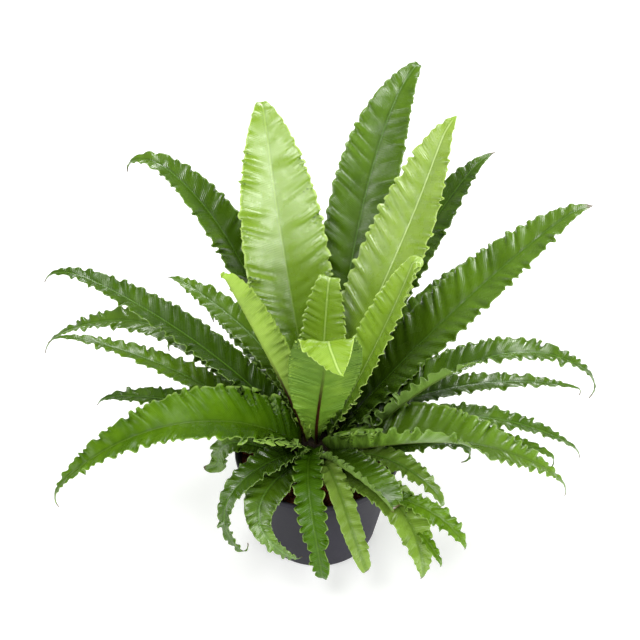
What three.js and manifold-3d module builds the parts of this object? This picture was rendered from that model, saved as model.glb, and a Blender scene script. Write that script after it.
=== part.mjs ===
// A potted bird's-nest fern of the crisped kind: undivided strap fronds with waved edges stand round a
// short fibrous stock, in soil, in a plain tapered pot. Millimetres, +Z up, +Y to the back.
// The origin is the centre of the pot's flat base.
import * as THREE from 'three';
import { mergeVertices } from 'three/addons/utils/BufferGeometryUtils.js';
import Module from 'manifold-3d';

// Driving dimensions: pot
const RIM_DIAMETER = 190;
const BASE_DIAMETER = 131;
const POT_HEIGHT = 132;
const WALL = 3.2;
const RIM_LIP = 1.6; // the lip stands this far proud of the wall
const RIM_DEPTH = 9;
const FLOOR = 4;
const BASE_ROUNDING = 5;
const ROUNDING_MIDDLE = 0.3; // share of a rounding's radius by which its middle stands in from its corner
const RIM_CHAMFER = 1;
const POT_SIDES = 48;
const DRAIN_DIAMETER = 11;
const DRAIN_RING = 38; // radius of the ring of drainage holes
const DRAIN_COUNT = 5;
const DRAIN_SIDES = 12;

// Driving dimensions: soil and stock
const GAP = 0.4; // clearance between pieces that rest in each other
const SOIL_DROP = 12; // from the rim down to the soil at the wall
const SOIL_MOUND = 9; // rise of the soil towards the middle
const SOIL_RINGS = [[1, 0], [0.88, 0.35], [0.74, 0.7], [0.6, 1]]; // shares of the radius and of the mound
const SOIL_LUMP = 2.2;
const LUMP_LENGTHS = [20, 23, 48, 28]; // wave lengths of the lumps
const SOIL_SIDES = 36;
const STOCK_RADIUS = 43;
const STOCK_TOP = 14; // above the rim plane
const STOCK_DROP = 20; // from the middle of its dome to its edge
const STOCK_DEPTH = 34; // below the rim plane
const STOCK_FOOT = [0.8, 8]; // share of the radius at its foot, and height over which it widens
const STOCK_RINGS = [1, 0.75, 0.5, 0.25]; // shares of the radius
const STOCK_SIDES = 28;
const SOCKET_DEPTH = 9;
const SOCKET_RADIUS = 4;
const SOCKET_SIDES = 6;
const STALK_RISE = 2; // a stalk stands straight to this height over its socket

// Driving dimensions: fronds
const STALK_HALF_WIDTH = 2.7;
const RIB_THICK = [3.4, 1.8]; // at the stalk and at the tip
const EDGE_THICK = [2.8, 1.2];
const TIP_HALF_WIDTH = 1.1;
const STALK_SHARE = 0.03; // share of the length that is bare stalk
const SWELL = 1.2; // power with which a blade widens from its stalk
const BELLY_RANGE = [0.3, 0.55]; // early and late place of the widest part, with the powers below
const FALL_RANGE = [1.1, 2.35]; // power with which the width falls from there to the tip
const HOOK_START = 0.84; // share of the length after which a tip hooks
const SCALLOP = 0.07; // in-plane share of the half width between crest and hollow
const WAVE_GROWTH = [0.1, 0.35]; // shares of the length between which the waves grow
const WAVE_FADE = [0.85, 0.6]; // share after which the waves fade, and how far
const WAVE_SPREAD = [0.7, 1.2]; // smallest and largest crest, as shares of the wave height
const FOLD_GROWTH = [0.06, 0.3]; // shares of the length between which the halves fold up
const LATE_START = [0.42, 0.7]; // shares of the length between which the late rise takes over
const ARC_DIVISIONS = 400;
const SEED = 71;

const YOUNG = { color: 0x8fbf3f, roughness: 0.38 };
const MIDDLE = { color: 0x4f8f25, roughness: 0.36 };
const MATURE = { color: 0x2f6516, roughness: 0.34 };

// One row for each frond, numbered from 1: the first ones are the youngest, in the middle. Lengths in mm,
// from the centre of the pot's rim. Stalk [ring radius, azimuth], three points on the midrib (a third, two
// thirds, tip), half width, belly (share of the length where it is widest), wave height, waves, tone, and
// where it differs from HABIT: rise of the [left, right] half, the same in the outer part (late), and roll
// at [stalk, tip] in degrees, the tip's hook in degrees, and the taper, which is above 1 for a drawn-out
// tip and below 1 for a blunt one. Left and right are as seen looking out along the frond.
const HABIT = { rise: [14, 14], late: null, roll: [0, 0], hook: 20, taper: 0.9 };
const FRONDS = [
  [[6, 80], [4, 22, 75], [8, 36, 153], [13, 46, 229], 26, 0.5, 3, 10, YOUNG,
    { rise: [10, 10], hook: 40, taper: 0.5 }],
  [[8, 262], [0, -34, 87], [7, -70, 186], [13, -121, 302], 39, 0.58, 4, 12, YOUNG,
    { rise: [6, 6], roll: [0, 10], hook: 140, taper: 0.9 }],
  [[14, 185], [-32, -16, 95], [-66, -24, 197], [-98, -32, 286], 25, 0.5, 4, 13, YOUNG,
    { rise: [50, 40], roll: [-10, -34], hook: 0, taper: 0.4 }],
  [[14, 352], [40, -4, 95], [73, -4, 190], [105, 0, 292], 27, 0.5, 4, 12, YOUNG,
    { rise: [14, 40], roll: [-30, -50], hook: 40, taper: 0.8 }],
  [[15, 120], [-20, 46, 112], [-42, 97, 244], [-58, 151, 381], 49, 0.52, 4, 16, YOUNG,
    { rise: [12, 12] }],
  [[15, 45], [42, 38, 120], [92, 76, 242], [139, 118, 382], 43, 0.52, 4, 16, YOUNG,
    { rise: [12, 12], hook: 10 }],
  [[20, 82], [28, 84, 132], [59, 168, 263], [114, 241, 378], 38, 0.58, 5, 15, MATURE, { hook: 30 }],
  [[21, 148], [-50, 60, 117], [-116, 118, 240], [-222, 160, 313], 30, 0.5, 5, 14, MATURE,
    { rise: [20, 20], hook: 70 }],
  [[21, 18], [80, 26, 88], [176, 72, 174], [298, 118, 268], 39, 0.48, 5, 16, MATURE, { hook: 10 }],
  [[25, 55], [56, 78, 100], [118, 140, 193], [193, 190, 286], 32, 0.5, 5, 12, MATURE,
    { rise: [16, 16] }],
  [[24, 348], [84, -18, 76], [190, -20, 160], [326, -14, 102], 24, 0.4, 4, 14, MATURE,
    { rise: [6, 50], late: [12, 20], hook: 40, taper: 1.2 }],
  [[22, 207], [-98, -40, 80], [-202, -68, 84], [-308, -90, 0], 43, 0.36, 5, 16, MIDDLE,
    { rise: [18, 20], hook: 30, taper: 1.2 }],
  [[24, 172], [-86, 30, 80], [-195, 62, 158], [-312, 90, 202], 25, 0.45, 5, 14, MATURE,
    { rise: [18, 18], hook: 50 }],
  [[24, 320], [84, -39, 45], [185, -54, 56], [290, -64, -8], 40, 0.38, 4, 15, MIDDLE,
    { rise: [8, 62], late: [10, 12], taper: 1.2 }],
  [[32, 156], [-82, 46, 52], [-182, 98, 96], [-330, 130, 36], 24, 0.42, 4, 13, MATURE, { hook: 10 }],
  [[27, 131], [-50, 68, 68], [-106, 118, 100], [-176, 170, 120], 19, 0.45, 4, 11, MATURE],
  [[33, 190], [-90, 8, 58], [-185, 20, 116], [-303, 37, 143], 20, 0.38, 4, 13, MATURE],
  [[35, 14], [98, 36, 38], [200, 56, 48], [312, 72, 22], 16, 0.42, 4, 14, MATURE, { hook: 5 }],
  [[33, 44], [75, 65, 75], [130, 115, 120], [180, 165, 149], 24, 0.45, 5, 11, MATURE],
  [[30, 240], [-44, -65, 18], [-65, -112, 4], [-16, -128, -55], 22, 0.34, 4, 12, MATURE,
    { rise: [8, 8], taper: 1.8 }],
  [[16, 258], [-11, -75, 28], [-4, -118, -9], [6, -129, -87], 16, 0.4, 4, 13, MIDDLE,
    { rise: [8, 8], hook: 10, taper: 0.6 }],
  [[32, 276], [19, -75, 24], [37, -112, -14], [57, -132, -68], 12, 0.45, 3, 12, MIDDLE,
    { rise: [8, 8], hook: 10, taper: 0.5 }],
  [[34, 219], [-52, -60, 38], [-98, -104, 24], [-76, -125, -52], 18, 0.32, 4, 12, MATURE,
    { rise: [12, 12], taper: 1.8 }],
  [[22, 292], [33, -66, 32], [58, -100, 41], [83, -130, 38], 26, 0.58, 4, 9, MATURE,
    { rise: [6, 50], taper: 0.5 }],
  [[34, 294], [50, -74, 20], [90, -120, 27], [118, -174, -34], 22, 0.55, 4, 11, MIDDLE,
    { rise: [10, 10] }],
  [[33, 310], [62, -40, 28], [108, -76, 34], [144, -118, 18], 15, 0.45, 4, 11, MATURE, { hook: 50 }],
  [[34, 326], [78, -26, 22], [146, -36, 42], [168, -40, 12], 12, 0.5, 4, 9, MATURE],
  [[32, 358], [95, 0, 40], [195, 4, 42], [309, 14, -26], 16, 0.45, 4, 14, MATURE, { hook: 5 }],
  [[35, 342], [92, -2, 14], [190, -4, 18], [286, -14, -14], 15, 0.45, 4, 13, MATURE],
  [[35, 172], [-90, 16, 30], [-170, 28, 48], [-258, 38, 40], 16, 0.5, 4, 11, MATURE],
  [[34, 207], [-58, -16, 14], [-100, -16, 22], [-108, -14, -32], 11, 0.55, 4, 9, MATURE,
    { rise: [10, 10], roll: [0, 70], hook: -60 }],
  [[28, 103], [-10, 95, 90], [-26, 200, 125], [-40, 330, 91], 30, 0.45, 5, 11, MATURE],
  [[33, 76], [24, 90, 75], [48, 190, 95], [70, 310, 60], 28, 0.45, 5, 11, MATURE],
  [[35, 119], [-45, 80, 40], [-92, 150, 50], [-132, 222, 6], 24, 0.45, 5, 10, MATURE],
  [[35, 58], [55, 90, 40], [111, 168, 46], [160, 250, 22], 25, 0.45, 5, 10, MATURE],
  [[37, 93], [0, 95, 45], [5, 190, 45], [10, 280, -30], 24, 0.45, 5, 10, MATURE],
  [[36, 141], [-60, 54, 26], [-125, 108, 44], [-184, 158, 14], 20, 0.45, 5, 9, MATURE],
  [[36, 30], [80, 46, 20], [155, 110, 24], [235, 178, -14], 22, 0.45, 5, 10, MATURE],
];

// A forked frond's side lobes: frond number, share of its length where the lobe leaves the midrib, points
// on the lobe's midrib (a third, two thirds, tip), half width, waves. They all have LOBE's form.
const LOBE = { belly: 0.5, wave: 3, rise: [8, 8], late: null, roll: [0, 0], hook: 20, taper: 0.9 };
const LOBES = [
  [25, 0.5, [105, -122, 36], [135, -145, 35], [162, -170, 16], 13, 6],
  [25, 0.62, [112, -140, 10], [125, -158, 2], [136, -170, -14], 6, 4],
];

const { clamp, degToRad, lerp, mapLinear, smoothstep } = THREE.MathUtils;
const wasm = await Module();
wasm.setup();

function seededRandom(seed) {
  let state = seed;
  return () => {
    state = (state * 16807) % 2147483647;
    return state / 2147483647;
  };
}

// A closed mesh as a solid that can be joined and cut.
function toSolid(geometry) {
  const bare = geometry.clone();
  bare.deleteAttribute('normal');
  bare.deleteAttribute('uv');
  const merged = mergeVertices(bare, 1e-3);
  const corners = merged.index.array;
  const kept = [];
  for (let i = 0; i < corners.length; i += 3) {
    const [a, b, c] = corners.slice(i, i + 3);
    if (a !== b && b !== c && c !== a) kept.push(a, b, c);
  }
  return new wasm.Manifold(new wasm.Mesh({
    numProp: 3,
    vertProperties: new Float32Array(merged.attributes.position.array),
    triVerts: new Uint32Array(kept),
  }));
}

// The largest body of a joined solid: hollows that joining sealed are filled and loose scraps dropped.
function largest(solid) {
  return solid.decompose().reduce((best, part) => (part.volume() > best.volume() ? part : best));
}

function toGeometry(solid) {
  const mesh = solid.getMesh();
  const geometry = new THREE.BufferGeometry();
  geometry.setAttribute('position', new THREE.BufferAttribute(mesh.vertProperties, 3));
  geometry.setIndex(new THREE.BufferAttribute(mesh.triVerts, 1));
  geometry.computeVertexNormals();
  return geometry;
}

function named(name, geometry, look) {
  const mesh = new THREE.Mesh(geometry, new THREE.MeshStandardMaterial({ metalness: 0, ...look }));
  mesh.name = name;
  return mesh;
}

// A profile of [radius, height] points turned round the Z axis.
function turned(profile, sides) {
  const outline = profile.map(([r, z]) => new THREE.Vector2(r, z));
  return new THREE.LatheGeometry(outline, sides).rotateX(Math.PI / 2);
}

// A closed upright bar between two heights.
function bar(radius, low, high, sides, x, y) {
  return new THREE.CylinderGeometry(radius, radius, high - low, sides)
    .rotateX(Math.PI / 2)
    .translate(x, y, (low + high) / 2);
}

function onRing(radius, degrees) {
  const angle = degToRad(degrees);
  return [radius * Math.cos(angle), radius * Math.sin(angle)];
}

function outerRadiusAt(z) {
  return lerp(BASE_DIAMETER, RIM_DIAMETER - 2 * RIM_LIP, z / POT_HEIGHT) / 2;
}

function pot() {
  const rim = RIM_DIAMETER / 2;
  const foot = BASE_DIAMETER / 2;
  const lipLow = POT_HEIGHT - RIM_DEPTH;
  const profile = [
    [0, 0],
    [foot - BASE_ROUNDING, 0],
    [foot - BASE_ROUNDING * ROUNDING_MIDDLE, BASE_ROUNDING * ROUNDING_MIDDLE],
    [outerRadiusAt(BASE_ROUNDING), BASE_ROUNDING],
    [outerRadiusAt(lipLow), lipLow],
    [rim, lipLow + RIM_LIP],
    [rim, POT_HEIGHT - RIM_CHAMFER],
    [rim - RIM_CHAMFER, POT_HEIGHT],
    [rim - WALL, POT_HEIGHT],
    [outerRadiusAt(FLOOR) - WALL, FLOOR],
    [0, FLOOR],
  ];
  let solid = toSolid(turned(profile, POT_SIDES));
  for (let i = 0; i < DRAIN_COUNT; i += 1) {
    const [x, y] = onRing(DRAIN_RING, (360 * i) / DRAIN_COUNT);
    solid = solid.subtract(toSolid(bar(DRAIN_DIAMETER / 2, -FLOOR, 2 * FLOOR, DRAIN_SIDES, x, y)));
  }
  return toGeometry(solid);
}

// Moves each point up or down, so that a turned form gets an uneven, lumpy top above a given height.
function roughen(geometry, aboveZ, depth) {
  const place = geometry.attributes.position;
  const [a, b, c, d] = LUMP_LENGTHS.map((length) => (2 * Math.PI) / length);
  for (let i = 0; i < place.count; i += 1) {
    const [x, y, z] = [place.getX(i), place.getY(i), place.getZ(i)];
    const lump = Math.sin(a * x + 1) * Math.cos(b * y) + Math.sin(c * x - d * y) / 2;
    if (z > aboveZ) place.setZ(i, z + depth * lump);
  }
  return geometry;
}

function soil() {
  const level = POT_HEIGHT - SOIL_DROP;
  const wallAt = (z) => outerRadiusAt(z) - WALL - GAP;
  const profile = [
    [0, FLOOR + GAP],
    [wallAt(FLOOR + GAP), FLOOR + GAP],
    ...SOIL_RINGS.map(([out, mound]) => [wallAt(level) * out, level + SOIL_MOUND * mound]),
    [0, level + SOIL_MOUND],
  ];
  const rough = roughen(turned(profile, SOIL_SIDES), level + 1, SOIL_LUMP);
  const low = POT_HEIGHT - STOCK_DEPTH - GAP;
  const hollow = bar(STOCK_RADIUS + GAP, low, POT_HEIGHT + STOCK_TOP, STOCK_SIDES, 0, 0);
  return toGeometry(toSolid(rough).subtract(toSolid(hollow)));
}

// Height of the stock's domed top, from the pot's base.
function stockTopAt(radius) {
  return POT_HEIGHT + STOCK_TOP - STOCK_DROP * (radius / STOCK_RADIUS) ** 2;
}

function stock() {
  const bottom = POT_HEIGHT - STOCK_DEPTH;
  const [footShare, footHeight] = STOCK_FOOT;
  const profile = [
    [0, bottom],
    [STOCK_RADIUS * footShare, bottom],
    [STOCK_RADIUS, bottom + footHeight],
    ...STOCK_RINGS.map((share) => [STOCK_RADIUS * share, stockTopAt(STOCK_RADIUS * share)]),
    [0, stockTopAt(0)],
  ];
  let solid = toSolid(turned(profile, STOCK_SIDES));
  for (const [[radius, azimuth]] of FRONDS) {
    const [x, y] = onRing(radius, azimuth);
    const top = stockTopAt(radius);
    const socket = bar(SOCKET_RADIUS, top - SOCKET_DEPTH, top + SOCKET_DEPTH, SOCKET_SIDES, x, y);
    solid = solid.subtract(toSolid(socket));
  }
  return toGeometry(solid);
}

// The midrib runs through the stalk, a third, two thirds and the tip, as one cubic curve.
function midrib(base, third, twoThirds, tip) {
  const mix = (a, b, c, d) => new THREE.Vector3()
    .addScaledVector(base, a)
    .addScaledVector(third, b)
    .addScaledVector(twoThirds, c)
    .addScaledVector(tip, d);
  const early = mix(-5 / 6, 3, -1.5, 1 / 3);
  const late = mix(1 / 3, -1.5, 3, -5 / 6);
  const curve = new THREE.CubicBezierCurve3(base, early, late, tip);
  curve.arcLengthDivisions = ARC_DIVISIONS;
  return curve;
}

// Half the blade's width at a share of its length: narrow stalk, widest at the belly, narrow tip.
function halfWidthAt(share, widest, belly, taper) {
  const grown = clamp((share - STALK_SHARE) / (belly - STALK_SHARE), 0, 1);
  const fallen = clamp((share - belly) / (1 - belly), 0, 1);
  const rise = Math.sin((grown * Math.PI) / 2) ** SWELL;
  const fall = (1 - fallen ** mapLinear(belly, ...BELLY_RANGE, ...FALL_RANGE)) ** taper;
  const stalk = lerp(STALK_HALF_WIDTH, TIP_HALF_WIDTH, share);
  return Math.max(stalk, widest * rise * fall);
}

// The curved line of stations along one frond, each with its direction along, to the right and up.
function stations(base, curve, outward, steps, hook) {
  const level = new THREE.Vector3(outward.y, -outward.x, 0);
  const foot = base.clone().setZ(base.z - SOCKET_DEPTH - STALK_RISE + GAP);
  const result = [{ place: foot, along: new THREE.Vector3(0, 0, 1), right: level, share: 0 }];
  let place = base.clone();
  for (let i = 0; i <= steps; i += 1) {
    const share = i / steps;
    const bend = -degToRad(hook) * clamp((share - HOOK_START) / (1 - HOOK_START), 0, 1);
    const along = curve.getTangentAt(share);
    const right = level.clone().addScaledVector(along, -level.dot(along)).normalize();
    if (i > 0) {
      const step = curve.getPointAt(share).sub(curve.getPointAt((i - 1) / steps));
      place = place.clone().add(step.applyAxisAngle(right, bend));
    }
    result.push({ place, along: along.applyAxisAngle(right, bend), right, share });
  }
  return result;
}

// Six corners of the blade's section: left edge, rib and right edge above, then the same below.
function section(station, crests, widest, form) {
  const { place, along, share } = station;
  const turn = degToRad(lerp(...form.roll, share));
  const right = station.right.clone().applyAxisAngle(along, -turn);
  const up = right.clone().cross(along);
  const width = halfWidthAt(share, widest, form.belly, form.taper);
  const [fadeStart, fadeDepth] = WAVE_FADE;
  const strength = smoothstep(share, ...WAVE_GROWTH) * (1 - fadeDepth * smoothstep(share, fadeStart, 1));
  const point = (side, height, outwards, facing) => place.clone()
    .addScaledVector(outwards, side)
    .addScaledVector(facing, height);
  const edge = (side) => {
    const sign = side === 0 ? -1 : 1;
    const late = form.late ?? form.rise;
    const rise = lerp(form.rise[side], late[side], smoothstep(share, ...LATE_START));
    const tilt = degToRad(rise) * smoothstep(share, ...FOLD_GROWTH);
    const [cos, sin] = [Math.cos(tilt), Math.sin(tilt)];
    const outwards = right.clone().multiplyScalar(sign * cos).addScaledVector(up, sin);
    const facing = up.clone().multiplyScalar(cos).addScaledVector(right, -sign * sin);
    const swing = crests[side] * strength;
    const reach = width * (1 + SCALLOP * swing);
    const half = lerp(...EDGE_THICK, share) / 2;
    const lift = form.wave * swing;
    return [point(reach, lift + half, outwards, facing), point(reach, lift - half, outwards, facing)];
  };
  const half = lerp(...RIB_THICK, share) / 2;
  const [leftTop, leftLow] = edge(0);
  const [rightTop, rightLow] = edge(1);
  return [leftTop, point(0, half, right, up), rightTop, rightLow, point(0, -half, right, up), leftLow];
}

// Both faces are split along the same diagonals, from the rib outwards and towards the tip.
function skin(sections) {
  const corners = [];
  const fromFirst = [false, true, true, false, true, true];
  for (let i = 0; i + 1 < sections.length; i += 1) {
    for (let k = 0; k < 6; k += 1) {
      const [a, b] = [i * 6 + k, i * 6 + ((k + 1) % 6)];
      const [d, c] = [a + 6, b + 6];
      corners.push(...(fromFirst[k] ? [a, b, c, a, c, d] : [a, b, d, b, c, d]));
    }
  }
  const last = (sections.length - 1) * 6;
  for (const [a, b, c] of [[0, 1, 4], [0, 4, 5], [1, 2, 3], [1, 3, 4]]) {
    corners.push(a, c, b, last + a, last + b, last + c);
  }
  const geometry = new THREE.BufferGeometry().setFromPoints(sections.flat());
  geometry.setIndex(corners);
  geometry.computeVertexNormals();
  return geometry;
}

const aboveRim = ([x, y, z]) => new THREE.Vector3(x, y, z + POT_HEIGHT);

// A side lobe starts inside the parent blade and shares its solid.
function lobe(parent, [, start, third, twoThirds, tip, widest, waves]) {
  const base = parent.getPointAt(start);
  const curve = midrib(base, aboveRim(third), aboveRim(twoThirds), aboveRim(tip));
  const outward = aboveRim(tip).sub(base).setZ(0).normalize();
  const sections = stations(base, curve, outward, 2 * waves, LOBE.hook).slice(1).map((station, i) => {
    const swing = i % 2 ? 1 : -1;
    return section(station, [swing, swing], widest, LOBE);
  });
  return skin(sections);
}

function frond(row, number, random) {
  const [[radius, azimuth], third, twoThirds, tip, widest, belly, wave, waves, tone, own] = row;
  const form = { ...HABIT, ...own, belly, wave };
  const [x, y] = onRing(radius, azimuth);
  const base = new THREE.Vector3(x, y, stockTopAt(radius) + STALK_RISE);
  const curve = midrib(base, aboveRim(third), aboveRim(twoThirds), aboveRim(tip));
  const outward = aboveRim(tip).sub(base).setZ(0).normalize();
  const sections = stations(base, curve, outward, 2 * waves, form.hook).map((station, i) => {
    const sign = i % 2 ? 1 : -1;
    const crests = [sign * lerp(...WAVE_SPREAD, random()), sign * lerp(...WAVE_SPREAD, random())];
    return section(station, crests, widest, form);
  });
  const name = `frond_${String(number).padStart(2, '0')}`;
  const lobes = LOBES.filter(([parent]) => parent === number);
  if (lobes.length === 0) return named(name, skin(sections), tone);
  const whole = toSolid(skin(sections));
  const joined = lobes.reduce((solid, one) => solid.add(toSolid(lobe(curve, one))), whole);
  return named(name, toGeometry(largest(joined)), tone);
}

const plant = new THREE.Group();
const random = seededRandom(SEED);
plant.add(named('pot', pot(), { color: 0x44444d, roughness: 0.62 }));
plant.add(named('soil', soil(), { color: 0x2c1610, roughness: 0.95 }));
plant.add(named('rhizome', stock(), { color: 0x4a2614, roughness: 0.9 }));
FRONDS.forEach((row, i) => plant.add(frond(row, i + 1, random)));

export default plant;
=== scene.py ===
import math

import bpy
import numpy as np
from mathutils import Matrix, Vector, noise


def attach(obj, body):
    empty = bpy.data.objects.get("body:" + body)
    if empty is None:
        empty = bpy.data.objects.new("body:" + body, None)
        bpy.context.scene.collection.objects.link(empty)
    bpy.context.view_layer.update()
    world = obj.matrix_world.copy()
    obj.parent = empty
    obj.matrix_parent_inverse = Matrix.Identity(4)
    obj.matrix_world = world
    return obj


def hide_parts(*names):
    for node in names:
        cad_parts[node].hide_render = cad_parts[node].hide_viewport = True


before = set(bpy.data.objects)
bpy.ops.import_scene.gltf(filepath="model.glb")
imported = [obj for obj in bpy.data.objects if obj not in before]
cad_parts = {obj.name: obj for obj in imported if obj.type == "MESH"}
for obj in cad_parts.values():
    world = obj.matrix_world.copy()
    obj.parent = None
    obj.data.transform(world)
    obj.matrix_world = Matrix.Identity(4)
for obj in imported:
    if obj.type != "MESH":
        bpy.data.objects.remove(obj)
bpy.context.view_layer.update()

# A potted bird's-nest fern of the crisped kind: undivided strap fronds with waved edges round a short
# fibrous stock, in soil, in a plain tapered pot. Shapes are worked out in millimetres from the same driving
# dimensions as the solids and written to the meshes in metres.
MM = 0.001

# Pot
RIM_DIAMETER = 190
BASE_DIAMETER = 131
POT_HEIGHT = 132
WALL = 3.2
RIM_LIP = 1.6
RIM_DEPTH = 9
FLOOR = 4
BASE_ROUNDING = 5
LIP_ROUNDING = 1.4  # of the lip's lower edge
RIM_ROUNDING = 1.3
MOUTH_ROUNDING = 1
FLOOR_ROUNDING = 3
POT_SIDES = 160
OUTER_RINGS = (40, 80)  # heights of the points between the ends of the wall's outside
INNER_RINGS = (60,)  # the same of its inside
SHARP_EDGE = 35  # degrees from which an edge of the pot stays sharp
DRAIN_DIAMETER = 11
DRAIN_RING = 38
DRAIN_COUNT = 5
DRAIN_SIDES = 32

# Soil and stock
GAP = 0.4
SOIL_DROP = 12
SOIL_MOUND = 9
STOCK_RADIUS = 43
STOCK_TOP = 14
STOCK_DROP = 20
STOCK_DEPTH = 34

# Stalks
SOCKET_DEPTH = 9
STALK_RISE = 2
STALK_HALF_WIDTH = 2.7
FOOT_STATIONS = 4  # stations of the stalk below the start of the midrib
FOOT_TOP = 2  # how far below that start the last of them lies
FOOT_SHARE = 1e-4  # their greatest share of the length, so that the shares still rise

# A blade's outline, in shares of its length
HOOK_START = 0.84
WAIST_LENGTH = 0.045
TAIL_IN = (0.3, 0.5)  # from no tail to a full one
TAIL_OUT = (0.86, 1)  # and back to none
LOW_BELLY = 0.3
FALL_POWER = 1.1  # power with which a blade narrows past a belly at LOW_BELLY
FALL_GAIN = 5  # what this power gains for each unit by which the belly lies further out
TIP_HALF_WIDTH = 0.45  # in millimetres

# A blade's mesh
STATION_STEP = 1.3
LINE_SAMPLES = 801
BLADE_STEPS = 9  # intervals from beside the rib to the edge
RIB_POINTS = [0, 0.9, 2.0]  # distances from the middle of the rib
RIB_LIMITS = [0, 0.3, 0.6]  # the most that they may be, in shares of the half width

# Stretches of the midrib, as shares, over which a blade changes
CROWN_PART = (0.05, 0.32)  # from the crown's fold to the outer one
LATE_PART = (0.42, 0.7)  # from the outer fold to the late one
OUTER_PART = (0.12, 0.4)  # from the crown's waves to the outer ones
WAVES_RISE = (0.01, 0.09)  # from no waves to full ones
WAVES_FADE = (0.8, 1)  # from full waves to those at the tip
TIP_CALM = 0.7  # share of the height that the waves lose at the tip

# Waves of the margin. Unevenness is its amount, and about how many swings it has along the blade.
PITCH_SWAY = (0.28, 6)
PITCH_JITTER = (0.32, 17)
HEIGHT_SWAY = (0.5, 13)
WAVE_DRIFT = (0.9, 14)  # of the phase, in radians
RIPPLE_DRIFT = (1.5, 5)  # the same for the ripples
SWAY_RATES = np.array([0.5, 0.83, 1.31])  # waves that an unevenness is made of, in shares of its swings
VEIN_SLANT = 0.55  # how far a vein runs towards the tip for each unit that it runs outwards
LOWEST_SHORT_WAVE = 0.8  # share of the height that a short wave keeps
OVERTONE = 0.12  # height of a wave of half the length, which makes the waves lopsided
RIPPLE_PITCH = 1.45  # length of a ripple, in wave lengths
RIPPLE_INNER = 1.4  # height of a ripple beside the rib
RIPPLE_LOSS = 0.6  # what it loses up to the edge
SCALLOP_LAG = 0.9  # radians by which a scallop is behind its wave
SCALLOP_SWING = 1.9
SCALLOP_REST = 1.2
SCALLOP_REACH = 3  # power with which the scallops grow from the rib to the edge
FRILL_REACH = 4  # the same for the frill's overhang

# A blade's thickness, as (beside the rib, at the edge) or (at the stalk, at the tip)
BODY = (0.5, 0.3)
BODY_SHARE = (1, 0.7)
EDGE_ROUNDING = 0.3
RIB_SPREAD = (1.5, 0.7)
RIB_BELOW = (1.7, 0.35)
RIB_ABOVE = {"young": 0.35, "middle": -0.3, "mature": -0.3}
RIB_ABOVE_LOSS = 0.7  # share that it loses up to the tip

# What a frond is like unless its own row says otherwise
HABIT = {
    "rise": (14, 14),  # degrees by which the left and the right half fold up
    "late": None,  # the same in the outer part, where it differs
    "crown_rise": (28, 28),  # the same beside the crown
    "roll": (0, 0),  # degrees about the rib, at the stalk and at the tip
    "hook": 20,  # degrees by which the last part bends over
    "curl": (0.93, 30),  # share of the length where the very tip starts to curl, and degrees
    "crease": None,  # share on the rib, skew, degrees and radius of a fold across the blade
    "cup": -0.3,  # below 0 the halves rise beside the rib, above 0 at the edge
    "swell": 0.3,  # below 1 the blade is broad from the crown on
    "taper": 1.1,  # above 1 the tip is drawn out, below 1 it is blunt
    "pitch": (8, 13),  # length of a wave near the crown and further out
    "reach": 2.5,  # power with which the waves grow from the rib to the edge
    "frill": (0.2, 0.04),  # overhang of the waves near the crown and further out, in wave lengths
    "scallop": 0.9,  # how far the edge swings in and out
    "ripple": 1.8,  # height of the soft ripples between the veins
    "crown": 1.3,  # how much higher the waves stand beside the crown
    "still": 9,  # half width below which the waves flatten
    "tail": 0,  # half width that is kept almost to the tip
    "waist": None,  # share at which the blade is drawn in, and how far
    "tone": None,  # 0 for a deep green, 1 for a fresh one, 2 for a pale one, or by chance up to 1
    "gloss": 1,  # share of the usual gloss of its age
    "shade": 1,  # share of the usual reach of the painted shade beside the crown
}

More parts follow.
